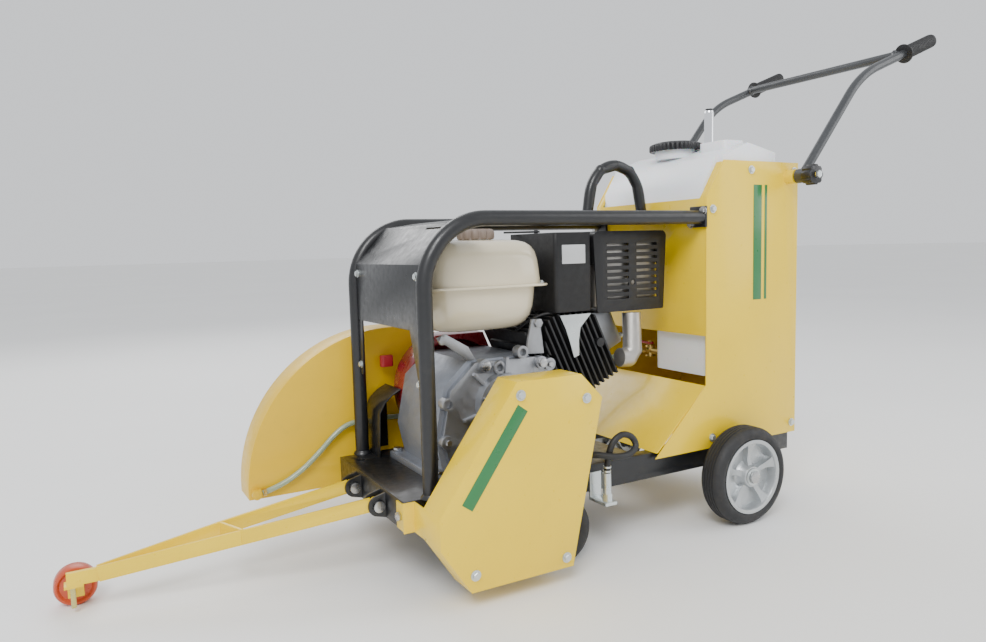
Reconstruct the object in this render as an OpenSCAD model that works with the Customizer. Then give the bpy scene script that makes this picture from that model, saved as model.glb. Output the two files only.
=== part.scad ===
// Walk-behind concrete saw, millimetres, +X forward, +Y to the machine's left, +Z up.
// Sub-parts are drawn about the rear axle's centre on the ground, then moved so that
// the origin is the middle of the footprint.

/* [Wheels] */
// Rear wheel radius
rear_r = 100; // [90:1:110]
// Rear tyre width
rear_w = 55; // [45:1:55]
// Front wheel radius
front_r = 62; // [55:1:64]

/* [Frame] */
// Half width of the base frame
base_hw = 165; // [160:1:168]
// Top of the engine bed
bed_z = 163; // [160:1:165]
// Front end of the base frame
base_front = 725; // [720:1:735]
// Outer radius of the cage tube
cage_r = 13.5; // [12:0.5:15]

/* [Console] */
// Half width of the console over its side plates
con_hw = 178; // [176:1:180]
// Height of the console's top edge
con_top = 738; // [730:1:745]

/* [Drive] */
// Radius of the blade guard's rim
guard_r = 307; // [295:1:308]
// Height of the blade shaft
shaft_z = 105; // [102:1:106]
// Radius of the arbor
arbor_r = 12.7; // [12:0.1:13]

/* [Hidden] */
$fn = 64;

mid_x = 308;                  // middle of the footprint, from the rear axle
mid_y = -11.5;                  // and from the centre plane
gap = 0.3;                    // between curved faces of different bodies
run = 0.05;                   // radial running clearance
sheet = 3;                    // sheet thickness of console and guards
con_rear = -203;
con_front = 64.5;
con_low = 153;
rail_low = 113;
post_x = 677;
rail_y = 167;
cage_z = 624;
bend_r = 117;                 // of the cage tube, to its centre line
shaft_x = 590;
crank_x = 495;
crank_z = 288;
foot_xs = [388, 628];         // bolts of the crankcase foot
foot_y = 96;
front_axle_x = 435;
axle_r = 10;
lift_x = 300;                 // pivot of the front axle carriage
lift_z = 128;
pivot_x = -172;               // handlebar pivot
pivot_z = 707;
handle_y = 214;
tube_r = 9.5;
lug_x = 738;                  // pivot of the cutting guide
lug_z = 135;
lug_ys = [66.5, -57];         // centre planes of the two pointer arms at the lugs
tip_x = 1168;
tip_z = 64;
wheel_x = 1202;
wheel_y = -122;
wheel_r = 33;
guard_in = -215;              // faces of the blade guard
guard_out = -291;
belt_y0 = 206;                // belt guard, inner and outer planes
belt_y1 = 268;
tilt = 25;                    // cylinder's rise towards the rear
neck_x = -36;                 // filler neck of the water tank
neck_y = -16;
tap_x = 22;                   // tap below the tank
tap_y = -40;
tap_z = 330;
screw_x = -172;
grip_x = -181;                // crank grip, 60 mm from the screw
grip_y = -59;
belt_outline = [[709, 162], [709, 111], [657, 32], [462, 32], [397, 316], [440, 360],
    [566, 360]];
hose_route = [[872, -206, 104], [850, -206, 110], [820, -205, 122], [786, -204, 143],
    [752, -204, 172], [722, -204, 200], [696, -204, 216], [668, -204, 221],
    [630, -205, 222], [585, -205, 220], [535, -206, 215], [480, -206, 208],
    [430, -204, 204], [380, -199, 206], [330, -190, 214], [285, -176, 226],
    [245, -156, 244], [205, -132, 266], [170, -106, 288], [140, -82, 307],
    [112, -60, 321], [86, -45, 329], [60, -40, 330]];
drain_route = [[405, 150, 190], [385, 175, 190], [365, 205, 195], [335, 224, 191],
    [305, 226, 192], [286, 222, 203], [290, 216, 219], [309, 213, 226],
    [329, 212, 216], [338, 210, 196], [338, 205, 178], [338, 202, 157]];

// Moves a sub-part from the rear axle's frame into the part's frame.
module place() {
    translate([-mid_x, -mid_y, 0]) children();
}

// Solid round bar between two points.
module rod(a, b, r) {
    d = b - a;
    len = norm(d);
    translate(a)
        rotate([0, acos(d.z / len), atan2(d.y, d.x)])
            cylinder(h = len, r = r);
}

// Round bar through a list of points, with a ball at each bend.
module bar(pts, r) {
    for (i = [0:len(pts) - 2]) {
        rod(pts[i], pts[i + 1], r);
        if (i > 0)
            translate(pts[i]) sphere(r = r + 0.2);
    }
}

// Cylinder along Y.
module disc(x, z, y0, y1, r) {
    translate([x, y1, z]) rotate([90, 0, 0]) cylinder(h = y1 - y0, r = r);
}

// Outline in X and Z, as thick as from y0 to y1.
module slab(pts, y0, y1) {
    translate([0, y1, 0]) rotate([90, 0, 0]) linear_extrude(y1 - y0) polygon(pts);
}

// Box from its low corner to its high corner.
module block(lo, hi) {
    translate(lo) cube(hi - lo);
}

// Hexagonal head or nut along Y.
module hex_y(x, z, y0, y1, r) {
    translate([x, y1, z]) rotate([90, 0, 0]) cylinder(h = y1 - y0, r = r, $fn = 6);
}

// Box with rounded upright edges.
module soft_box(lo, hi, r) {
    translate([0, 0, lo.z]) linear_extrude(hi.z - lo.z) union() {
        translate([lo.x + r, lo.y]) square([hi.x - lo.x - 2 * r, hi.y - lo.y]);
        translate([lo.x, lo.y + r]) square([hi.x - lo.x, hi.y - lo.y - 2 * r]);
        for (x = [lo.x + r, hi.x - r])
            for (y = [lo.y + r, hi.y - r])
                translate([x, y]) circle(r = r);
    }
}

// Smooth points along a route, and one closed tube swept along them.
function mix(a, b, c, d, t) =
    0.5 * (2 * b + (c - a) * t + (2 * a - 5 * b + 4 * c - d) * t * t
    + (3 * b - a - 3 * c + d) * t * t * t);
function smooth(p, n) = [for (i = [0:len(p) - 2]) for (k = [0:n - 1])
    mix(p[max(i - 1, 0)], p[i], p[i + 1], p[min(i + 2, len(p) - 1)], k / n), p[len(p) - 1]];
function unit(v) = v / norm(v);
module sweep(p, r, sides) {
    n = len(p);
    rings = [for (i = [0:n - 1])
        let (t = unit(p[min(i + 1, n - 1)] - p[max(i - 1, 0)]),
            ref = abs(t.z) > 0.9 ? [0, 1, 0] : [0, 0, 1],
            u = unit(cross(ref, t)), w = cross(t, u))
        [for (k = [0:sides - 1]) p[i] + r * (u * cos(360 * k / sides)
            + w * sin(360 * k / sides))]];
    pts = [for (ring = rings) for (q = ring) q];
    walls = [for (i = [0:n - 2]) for (k = [0:sides - 1]) let (m = (k + 1) % sides)
        each [[i * sides + k, i * sides + m, (i + 1) * sides + m],
            [i * sides + k, (i + 1) * sides + m, (i + 1) * sides + k]]];
    ends = [[for (k = [sides - 1:-1:0]) k], [for (k = [0:sides - 1]) (n - 1) * sides + k]];
    polyhedron([for (q = pts) q],
        [for (f = concat(walls, ends)) [for (j = [len(f) - 1:-1:0]) f[j]]]);
}

// ---- Frame and cage ----

module base_frame() color("#202224") place() difference() {
    union() {
        for (s = [-1, 1]) {
            block([con_rear + 8, min(s * base_hw, s * (base_hw - 25)), rail_low],
                [base_front, max(s * base_hw, s * (base_hw - 25)), bed_z]);
            // hangers of the rear axle
            slab([[-38, rail_low], [38, rail_low], [20, 80], [-20, 80]],
                min(s * 140, s * 148), max(s * 140, s * 148));
            // hangers of the front axle carriage
            slab([[lift_x - 20, rail_low + 1], [lift_x - 20, 163], [lift_x + 20, 163],
                [lift_x + 20, rail_low + 1]], min(s * 120, s * 128), max(s * 120, s * 128));
        }
        block([230, -140, bed_z - 6], [base_front, 140, bed_z]);
        block([con_rear + 8, -140, rail_low], [con_rear + 33, 140, bed_z]);
        block([base_front - 6, -140, rail_low], [base_front, 140, bed_z]);
        for (y = lug_ys)
            for (s = [-1, 1])
                hull() {
                    disc(lug_x, lug_z, y + s * 12 - 2.5, y + s * 12 + 2.5, 18);
                    block([base_front - 2, y + s * 12 - 2.5, lug_z - 22],
                        [base_front, y + s * 12 + 2.5, lug_z + 22]);
                }
    }
    disc(0, rear_r, -200, 200, axle_r + 0.5);
    disc(lift_x, lift_z, -135, 135, 10 + run);
    disc(shaft_x, shaft_z, -200, 200, 31);
    for (y = lug_ys)
        disc(lug_x, lug_z, y - 20, y + 20, 6);
    translate([697, -120, bed_z - 10]) cylinder(h = 20, r = 8);
}

// Bent tube on one side: post, two bends and the top rail to its foot on the console.
module cage_side(s) color("#1d1f21") place() {
    y = s * rail_y;
    bend_x = post_x - bend_r;
    bend_z = cage_z - bend_r;
    translate([post_x, y, bed_z]) cylinder(h = bend_z - bed_z, r = cage_r);
    translate([bend_x, y, bend_z]) rotate([90, 0, 0]) rotate_extrude(angle = 90)
        translate([bend_r, 0]) circle(r = cage_r);
    translate([con_front + 3, y, cage_z]) rotate([0, 90, 0])
        cylinder(h = bend_x - con_front - 3, r = cage_r);
    block([con_front, y - 22 - s * 8, cage_z - 20], [con_front + 6, y + 22 - s * 8,
        cage_z + 22]);
}
module cage_left() cage_side(1);
module cage_right() cage_side(-1);

// Sheet between the posts: upright face, sloping face, short flat top, and a cut-out.
module front_cover() color("#26292c") place() difference() {
    hw = rail_y - cage_r;
    slab([[676, 330], [679, 330], [679, 549], [614, 618], [560, 626], [560, 623],
        [612.6, 615.2], [676, 547.8]], -hw, hw);
    rotate([90, 0, 90]) translate([0, 0, 640])
        linear_extrude(60) polygon([[-138, 320], [-130, 438], [105, 438], [140, 340],
            [140, 320]]);
    for (z = [572, 584])
        block([600, 60, z + 37], [640, 120, z + 40]);
}

module lifting_arch() color("#1d1f21") place() {
    arch_r = 11;
    bar([[226, 0, cage_z + 6], [222, 0, 652], [212, 0, 700], [190, 0, 730],
        [150, 0, 741], [112, 0, 730], [92, 0, 700], [82, 0, 652], [78, 0, cage_z + 6]],
        arch_r);
    difference() {
        block([70.8, -rail_y + cage_r, cage_z - 4], [234, rail_y - cage_r, cage_z + 6]);
        block([100, -120, cage_z - 5], [204, -20, cage_z + 7]);
        block([100, 20, cage_z - 5], [204, 120, cage_z + 7]);
    }
}

// ---- Console ----

// Two side plates, the back and the floor, folded from one sheet.
module console_shell() color("#f0cf1a") place() difference() {
    union() {
        for (s = [-1, 1]) {
            slab([[con_rear, con_low], [199, con_low], [con_front, 284], [con_front, 664],
                [16.5, con_top], [con_rear, con_top]],
                min(s * con_hw, s * (con_hw - sheet)), max(s * con_hw, s * (con_hw - sheet)));
            disc(pivot_x, pivot_z, min(s * con_hw, s * 200), max(s * con_hw, s * 200), 15);
            disc(pivot_x, pivot_z, min(s * 200, s * 252), max(s * 200, s * 252), 5);
        }
        block([con_rear, -con_hw + sheet, con_low], [con_rear + sheet, con_hw - sheet,
            con_top]);
        block([con_rear + sheet, -con_hw + sheet, bed_z], [60, con_hw - sheet,
            bed_z + sheet]);
    }
    for (s = [-1, 1])
        block([con_rear - 1, min(s * 100, s * (base_hw + gap)), con_low - 1],
            [230, max(s * 100, s * (base_hw + gap)), bed_z - 0.01]);
}

// Front panel above the open niche, and the sloping cover below it.
module console_front() color("#e2c21c") place() {
    w = con_hw - sheet - 0.2;
    slab([[con_front - sheet, 385], [con_front, 385], [con_front, 662], [18, 735],
        [14, 732], [con_front - sheet, 660]], -w, -w + 16);
    slab([[con_front - sheet, 385], [con_front, 385], [con_front, 662], [18, 735],
        [14, 732], [con_front - sheet, 660]], w - 16, w);
    block([con_front - sheet, -w + 16, 385], [con_front, w - 16, 662]);
    slab([[con_front - 4, 283], [con_front, 284], [195, bed_z + 0.2], [190, bed_z + 0.2]],
        -w, w);
}

module water_tank() color("#e9edf0") place() {
    w = con_hw - sheet - 4;
    difference() {
        slab([[54, 426], [54, 690], [22, 744], [-58, 776], [-140, 758], [-140, 426]],
            -w, w);
        for (s = [-1, 1])
            slab([[80, 640], [80, 760], [12.8, 760], [12.8, 731.2], [60.4, 659]],
                min(s * 158.3, s * 175), max(s * 158.3, s * 175));
    }
    soft_box([-112, 4, 300], [50, w, 426], 20);
    translate([neck_x, neck_y, 760]) cylinder(h = 31, r = 46);
    soft_box([-98, 50, 750], [-34, 132, 786], 18);
}

module water_cap() color("#22242b") place() translate([neck_x, neck_y, 0])
    difference() {
        union() {
            translate([0, 0, 778]) cylinder(h = 16, r = 56);
            translate([0, 0, 794]) cylinder(h = 3, r = 46);
            for (a = [0:15:345])
                rotate([0, 0, a]) translate([53, -3, 778]) cube([6, 6, 15]);
        }
        translate([0, 0, 770]) cylinder(h = 21.3, r = 46.3);
    }

// ---- Axle and wheels ----

module rear_axle() color("#3a3c3e") place() {
    disc(0, rear_r, -244, 244, axle_r);
    for (s = [-1, 1])
        disc(0, rear_r, min(s * 176, s * 187), max(s * 176, s * 187), 16);
}

module tyre(s) color("#17181a") place() {
    y0 = s > 0 ? 190 : -190 - rear_w;
    difference() {
        disc(0, rear_r, y0, y0 + rear_w, rear_r);
        disc(0, rear_r, y0 - 1, y0 + rear_w + 1, 75);
    }
}
module rear_tyre_left() tyre(1);
module rear_tyre_right() tyre(-1);

// Cast hub: rim, five flared webs and a boss.
module hub(s) color("#b9bcbf") place() {
    y0 = s > 0 ? 190 : -190 - rear_w;
    m = y0 + rear_w / 2;
    difference() {
        union() {
            difference() {
                disc(0, rear_r, y0 + 2, y0 + rear_w - 2, 75);
                disc(0, rear_r, y0 - 1, y0 + rear_w + 1, 66);
            }
            disc(0, rear_r, m - 4, m + 4, 67);
            disc(0, rear_r, y0 + 4, y0 + rear_w - 4, 21);
            for (a = [0:72:288])
                translate([0, m, rear_r]) rotate([0, a, 0])
                    block([-8, -rear_w / 2 + 6, 18], [8, rear_w / 2 - 6, 67]);
        }
        disc(0, rear_r, -300, 300, axle_r + run);
    }
}
module rear_hub_left() hub(1);
module rear_hub_right() hub(-1);

// Swing arms, pivot tube and axle of the small front wheels.
module front_axle_carriage() color("#2a2c2e") place() {
    disc(lift_x, lift_z, -134, 134, 10);
    disc(front_axle_x, front_r, -204, 204, 9);
    for (s = [-1, 1])
        hull() {
            disc(lift_x, lift_z, s * 110 - 4, s * 110 + 4, 17);
            disc(front_axle_x, front_r, s * 110 - 4, s * 110 + 4, 17);
        }
}

module small_wheel(s) color("#2b2b2c") place() {
    y0 = s > 0 ? 168 : -200;
    difference() {
        disc(front_axle_x, front_r, y0, y0 + 32, front_r);
        disc(front_axle_x, front_r, y0 - 1, y0 + 8, 36);
        disc(front_axle_x, front_r, y0 + 24, y0 + 33, 36);
        disc(front_axle_x, front_r, y0 - 1, y0 + 33, 9 + run);
    }
}
module front_wheel_left() small_wheel(1);
module front_wheel_right() small_wheel(-1);

// ---- Handlebar ----

module handlebar() color("#5b5e60") place() {
    for (s = [-1, 1]) {
        y = s * handle_y;
        difference() {
            disc(pivot_x, pivot_z, y - 11, y + 11, 15);
            disc(pivot_x, pivot_z, y - 12, y + 12, 5 + run);
        }
        bar([[pivot_x - 9, y, pivot_z + 11], [-356, y, 928], [-592, y, 1020]], tube_r);
    }
    rod([-488, -handle_y, 983], [-488, handle_y, 983], tube_r);
}

module handle_grips() color("#1b1c1e") place()
    for (s = [-1, 1]) {
        a = atan2(92, 236);
        translate([-494, s * handle_y, 981.8]) rotate([0, -90 + a, 0]) difference() {
            union() {
                translate([0, 0, 14]) cylinder(h = 4, r = 21);
                translate([0, 0, 18]) cylinder(h = 110, r = 15);
            }
            translate([0, 0, 10]) cylinder(h = 96, r = tube_r + gap);
        }
    }

module handle_knob(s) color("#1b1c1e") place() difference() {
    y0 = s > 0 ? 226 : -248;
    disc(pivot_x, pivot_z, y0, y0 + 22, 21);
    for (a = [22.5:45:337.5])
        translate([pivot_x, y0 + 11, pivot_z]) rotate([0, a, 0]) translate([0, 0, 24])
            rotate([90, 0, 0]) cylinder(h = 26, r = 5.5, center = true);
    disc(pivot_x, pivot_z, y0 - 1, y0 + 23, 5 + run);
}
module handle_knob_left() handle_knob(1);
module handle_knob_right() handle_knob(-1);

// ---- Cutting guide ----

// One flat bar of the guide, from a to b, standing on edge.
module guide_bar(a, b) {
    d = b - a;
    run_xy = norm([d.x, d.y]);
    translate(a) rotate([0, 0, atan2(d.y, d.x)]) rotate([0, -atan2(d.z, run_xy), 0])
        translate([0, -2.5, -12.5]) cube([norm(d), 5, 25]);
}

module pointer_frame() color("#e5c51d") place() difference() {
    union() {
        for (y = lug_ys)
            disc(lug_x, lug_z, y - 5, y + 5, 12.4);
        guide_bar([lug_x + 8, lug_ys[0] - 1, lug_z], [tip_x, -62, tip_z]);
        guide_bar([lug_x + 8, lug_ys[1], lug_z], [980, -66, 98]);
        guide_bar([976, -66, 98.5], [tip_x, -69, tip_z]);
        guide_bar([975, -64, 98], [952, 6, 102]);
        block([tip_x - 26, -70, tip_z - 12], [tip_x + 46, -62, tip_z + 10]);
        block([tip_x + 22, -86, tip_z - 16], [tip_x + 50, -62, tip_z - 11]);
        block([tip_x + 22, -100, tip_z - 44], [tip_x + 46, -95, tip_z - 11]);
        block([tip_x + 22, -100, tip_z - 16], [tip_x + 46, -70, tip_z - 11]);
        disc(wheel_x, wheel_r, -142, -95, 5);
    }
    for (y = lug_ys)
        disc(lug_x, lug_z, y - 6, y + 6, 6 + run);
    translate([tip_x + 38, -78, tip_z - 20]) cylinder(h = 12, r = 4);
}

module pointer_wheel() color("#c8492c") place() difference() {
    union() {
        disc(wheel_x, wheel_r, wheel_y - 15, wheel_y + 15, wheel_r - 2);
        disc(wheel_x, wheel_r, wheel_y - 11, wheel_y + 11, wheel_r);
    }
    disc(wheel_x, wheel_r, wheel_y - 16, wheel_y + 16, 5 + run);
}

module pointer_pin() color("#c9ccd0") place() {
    translate([tip_x + 38, -78, 10]) cylinder(h = tip_z - 10 - 8, r = 4);
    translate([tip_x + 38, -78, tip_z - 11]) cylinder(h = 5, r = 7.5, $fn = 6);
}

// ---- Blade side ----

module blade_guard() color("#ddb427") place() difference() {
    disc(shaft_x, shaft_z, guard_out, guard_in, guard_r);
    disc(shaft_x, shaft_z, guard_out + sheet, guard_in - sheet, guard_r - sheet);
    block([200, guard_out - 1, -300], [950, guard_in + 1, 90]);
    disc(shaft_x, shaft_z, guard_in - 10, guard_in + 1, 24 + gap);
}

module guard_nozzle() color("#d9b021") place() {
    rod([884, guard_in, 103], [884, -197, 103], 9);
    rod([884, -206, 103], [875, -206, 103.8], 9);
}

module blade_shaft() color("#8f9396") place() {
    disc(shaft_x, shaft_z, -230, 258, 15);
    disc(shaft_x, shaft_z, -282, -230, arbor_r);
}

module blade_flanges() color("#9a9da0") place() difference() {
    union() {
        disc(shaft_x, shaft_z, -246, -236, 58);
        disc(shaft_x, shaft_z, -236, -224, 24);
        disc(shaft_x, shaft_z, -260, -250, 58);
        hex_y(shaft_x, shaft_z, -274, -260, 22);
    }
    disc(shaft_x, shaft_z, -275, -230, arbor_r);
    disc(shaft_x, shaft_z, -230, -220, 15);
}

// Grooved pulley on a shaft of radius bore.
module pulley(x, z, r, bore, y0) difference() {
    disc(x, z, y0, y0 + 36, r);
    for (k = [0, 1])
        difference() {
            disc(x, z, y0 + 5 + 15 * k, y0 + 16 + 15 * k, r + 1);
            disc(x, z, y0 + 4 + 15 * k, y0 + 17 + 15 * k, r - 9);
        }
    disc(x, z, y0 - 1, y0 + 37, bore);
}
module driven_pulley() color("#6a6d70") place() pulley(shaft_x, shaft_z, 52, 15, 216);
module drive_pulley() color("#6a6d70") place() pulley(crank_x, crank_z, 50, 12.7, 216);

module v_belts() color("#1a1a1a") place()
    for (k = [0, 1])
        translate([0, 216 + 15.5 + 15 * k, 0]) rotate([90, 0, 0]) linear_extrude(10)
            difference() {
                hull() {
                    translate([shaft_x, shaft_z]) circle(r = 51, $fn = 48);
                    translate([crank_x, crank_z]) circle(r = 49, $fn = 48);
                }
                hull() {
                    translate([shaft_x, shaft_z]) circle(r = 44, $fn = 48);
                    translate([crank_x, crank_z]) circle(r = 42, $fn = 48);
                }
            }

module shaft_bearings() color("#4b5256") place() {
    // collar that the blade guard turns on
    difference() {
        disc(shaft_x, shaft_z, -221, -124, 24);
        disc(shaft_x, shaft_z, -222, -123, 15.6);
    }
    for (s = [-1, 1]) difference() {
        union() {
            disc(shaft_x, shaft_z, s * 108 - 16, s * 108 + 16, 34);
            block([shaft_x - 62, s * 108 - 15, bed_z - 20], [shaft_x + 62, s * 108 + 15,
                bed_z - 6]);
            block([shaft_x - 32, s * 108 - 14, shaft_z], [shaft_x + 32, s * 108 + 14,
                bed_z - 10]);
        }
        disc(shaft_x, shaft_z, s * 108 - 17, s * 108 + 17, 15 + run);
    }
}

module shaft_cover() color("#17181a") place() difference() {
    slab([[610, bed_z], [661, bed_z], [657, 252], [646, 272], [630, 286], [610, 296]],
        -196, -112);
    slab([[609, bed_z - 1], [658.5, bed_z - 1], [654.5, 251], [644, 270], [629, 283.4],
        [609, 293.5]], -193.5, -100);
}

// Box open towards the machine, with a flap bolted to the front of the frame.
module belt_guard() color("#e8c81c") place() difference() {
    union() {
        slab(belt_outline, belt_y0, belt_y1);
        block([706, base_hw + 0.5, 111], [709, belt_y0, 162]);
        block([706, base_hw + 0.5, 111], [base_front + 3, base_hw + 3, 162]);
        block([base_front, 138, 114], [base_front + 3, base_hw + 3, 160]);
    }
    translate([0, belt_y1 - sheet, 0]) rotate([90, 0, 0])
        linear_extrude(belt_y1 - sheet - belt_y0 + 1)
            offset(delta = -sheet) polygon(belt_outline);
}

// Screws and bolts that are all alike in kind, each a separate solid.
module bolts() color("#c6c9cc") place() {
    hex_y(0, rear_r, 245.5, 250, 13);
    hex_y(0, rear_r, -250, -245.5, 13);
    for (y = lug_ys) {
        disc(lug_x, lug_z, y - 15, y + 15, 6);
        disc(lug_x, lug_z, y + 15, y + 21, 10);
        hex_y(lug_x, lug_z, y - 21, y - 15, 10);
    }
    for (p = [[533, 362], [412, 357]])
        hex_y(p.x, p.y, 104, 111, 9);
    translate([base_front + 3, 152, 137]) rotate([0, 90, 0]) cylinder(h = 6, r = 8, $fn = 6);
    for (x = foot_xs)
        for (y = [-foot_y, foot_y])
            translate([x, y, bed_z + 12]) cylinder(h = 8, r = 9, $fn = 6);
}

// ---- Engine ----

module crankcase() color("#8d9299") place() difference() {
    union() {
        slab([[408, bed_z], [612, bed_z], [628, 236], [608, 330], [560, 372], [430, 372],
            [392, 330], [400, 250]], -92, 84);
        block([376, -108, bed_z], [640, 108, bed_z + 12]);
    }
    disc(crank_x, crank_z, -93, 85, 40);
    for (x = foot_xs)
        for (y = [-foot_y, foot_y])
            translate([x, y, bed_z - 1]) cylinder(h = 14, r = 5);
}

// Cover on the drive side, with its ring of bosses.
module side_cover() color("#9aa0a8") place() difference() {
    union() {
        slab([[420, 178], [602, 178], [618, 236], [600, 322], [550, 368], [424, 368],
            [388, 352], [396, 250]], 84, 96);
        disc(crank_x, crank_z, 96, 118, 58);
        disc(crank_x, crank_z, 118, 132, 34);
        for (p = [[533, 362], [503, 356], [453, 380], [412, 357], [393, 352], [608, 300],
            [612, 232], [404, 240], [410, 196]])
            disc(p.x, p.y, 84, 104, 12);
        for (a = [15:50:345])
            translate([crank_x, 100, crank_z]) rotate([0, a, 0])
                block([50, -6, -3], [86, 6, 3]);
    }
    disc(crank_x, crank_z, 80, 140, 12.7 + run);
    for (p = [[503, 356], [453, 380], [608, 300]])
        disc(p.x, p.y, 94, 105, 7);
}

module crankshaft() color("#8f9396") place() {
    disc(crank_x, crank_z, -150, 254, 12.7);
    disc(crank_x, crank_z, -60, -40, 36);
    disc(crank_x, crank_z, 20, 40, 36);
}

// Frame along the cylinder: X away from the crankshaft.
module bore_frame() {
    translate([crank_x, 0, crank_z]) rotate([0, 180 + tilt, 0]) children();
}

// Finned barrel and head, relieved around the parts that are bolted against it.
module engine_cylinder() color("#2b2d2f") place() difference() {
    bore_frame() {
        block([100, -62, -62], [270, 62, 62]);
        for (k = [0:12])
            block([106 + 12.5 * k, -84, -88], [110 + 12.5 * k, 94, 88]);
        translate([245, 84, 10]) rotate([-90, 0, 0]) cylinder(h = 14, r = 9);
    }
    block([285, -73, 444], [377, 101, 603]);
    block([327, -63, 392], [369, 13, 445]);
    muffler_space();
    slab([[399.4, 250], [391.5, 330], [429.7, 372.5], [600, 372.5], [600, 250]],
        -92.3, 84.3);
    slab([[560, 250], [560, 441], [396, 441], [396, 370], [380.5, 366], [380.5, 338],
        [392, 250]], 83.7, 105);
}

// Room kept clear for the muffler and its guard.
module muffler_space() block([98, -2, 438.5], [287, 103, 604]);

module rocker_cover() color("#b7babd") place() difference() {
    bore_frame() soft_box([270.2, -50, -52], [322, 62, 52], 12);
    muffler_space();
}

module exhaust_elbow() color("#a9abad") place()
    bar([[222, 97, 348], [200, 97, 346], [188, 97, 362], [186, 92, 436]], 19);

module muffler() color("#3b3937") place()
    soft_box([112, 14, 449], [272, 88, 590], 10);

module muffler_guard() color("#1a1b1d") place() difference() {
    hull()
        for (x = [100 + 12, 285 - 12])
            for (z = [441 + 4, 601 - 12])
                translate([x, 0, z]) rotate([-90, 0, 0]) cylinder(h = 100, r = z > 500 ? 12 : 4,
                    $fn = 32);
    block([103, -1, 444], [282, 97, 597]);
    for (k = [0:8])
        for (x = [124, 198])
            block([x, 90, 466 + 13.2 * k], [x + 54, 101, 471.5 + 13.2 * k]);
    disc(187, 498, 90, 101, 5);
    disc(187, 448, 40, 96, 20);
    block([160, 60, 438], [212, 96, 446]);
}

module air_cleaner() color("#17181a") place() {
    soft_box([288, -70, 447], [374, 98, 600], 8);
    translate([340, -20, 600]) cylinder(h = 8, r = 4);
}

module carburettor() color("#84878a") place() {
    block([330, -60, 395], [366, -20, 440]);
    block([340, -20, 400], [356, 10, 432]);
}

module control_bracket() color("#b8bcbf") place() {
    slab([[366, 442], [292, 442], [318, 416], [322, 392], [322, 362], [334, 358],
        [343, 388], [352, 414]], 97, 99.5);
}

module fuel_tank() color("#e3d6b4") place() {
    soft_box([392, -126, 506], [628, 102, 580], 30);
    soft_box([412, -106, 580], [606, 84, 590], 24);
    soft_box([400, -120, 440], [620, 96, 501], 26);
    soft_box([446, -106, 420], [600, 84, 440], 24);
    soft_box([380, -138, 501], [640, 112, 506], 34);
    translate([484, -12, 590]) cylinder(h = 6, r = 30);
}

module fuel_cap() color("#75685f") place() difference() {
    union() {
        translate([484, -12, 590.3]) cylinder(h = 20, r = 34);
        for (a = [0:30:330])
            translate([484, -12, 592]) rotate([0, 0, a]) translate([31, -5, 0])
                cube([6, 10, 15]);
    }
    translate([484, -12, 580]) cylinder(h = 16.3, r = 30.3);
}

module tank_brackets() color("#8d9096") place() {
    slab([[398, 372], [438, 374], [432, 404], [424, 438], [404, 438], [402, 404]], 85, 91);
    slab([[546, 374], [562, 374], [622, 418], [604, 424], [560, 398]], 85, 91);
    for (p = [[413, 431], [612, 414]])
        hex_y(p.x, p.y, 91, 99, 9);
}

module fan_housing() color("#8e2230") place() difference() {
    union() {
        disc(crank_x, crank_z, -158, -92, 112);
        block([crank_x - 60, -158, crank_z - 112], [crank_x + 60, -92, crank_z]);
        slab([[400, 330], [430, 400], [540, 400], [590, 340]], -150, -92);
    }
    disc(crank_x, crank_z, -156, -91, 102);
}

module recoil_cover() color("#8e2230") place() difference() {
    union() {
        disc(crank_x, crank_z, -180, -158, 98);
        disc(crank_x, crank_z, -192, -180, 60);
    }
    disc(crank_x, crank_z, -178, -157, 92);
    for (a = [0:30:330])
        translate([crank_x, -190, crank_z]) rotate([0, a, 0])
            block([68, 0, -5], [88, 20, 5]);
}

module recoil_grip() color("#a01c28") place() {
    soft_box([594, -199, 332], [622, -183, 356], 7);
}

module throttle_lever() color("#2a2b2c") place() difference() {
    hull() {
        translate([340, -20, 602]) cylinder(h = 4, r = 8);
        translate([392, -52, 602]) cylinder(h = 4, r = 5);
    }
    translate([340, -20, 590]) cylinder(h = 20, r = 4.3);
}

// ---- Water and oil fittings ----

module water_tap() color("#c6a43a") place() {
    rod([tap_x, 4, tap_z], [tap_x, tap_y, tap_z], 8);
    translate([tap_x, tap_y, tap_z - 13]) cylinder(h = 26, r = 11);
    rod([tap_x, tap_y, tap_z], [58, tap_y, tap_z], 8);
    translate([tap_x, tap_y, tap_z + 13]) cylinder(h = 10, r = 4);
}

module tap_lever() color("#a3262a") place() translate([tap_x, tap_y, tap_z + 15])
    difference() {
        union() {
            cylinder(h = 5, r = 8);
            block([-5, -34, 0], [5, 0, 5]);
        }
        translate([0, 0, -1]) cylinder(h = 7, r = 4 + run);
    }

module water_hose() color("#9fb98f") place() sweep(smooth(hose_route, 3), 5.5, 10);
module drain_hose() color("#1a1b1d") place() sweep(smooth(drain_route, 4), 6, 10);

module drain_fitting() color("#b9bcbf") place() {
    translate([338, 202, 118]) cylinder(h = 38.4, r = 8);
    translate([338, 202, 104]) cylinder(h = 14, r = 10, $fn = 6);
    block([326, 166, 98], [352, 216, 104]);
    block([326, 165, 98], [352, 169, 150]);
    difference() {
        union() {
            translate([405, 150, 190]) sphere(r = 9);
            rod([405, 150, 190], [405, 104.6, 190], 8);
        }
        rod([407.5, 146.9, 190], [385, 175, 190], 6.8);
    }
}

// ---- Depth control ----

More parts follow.
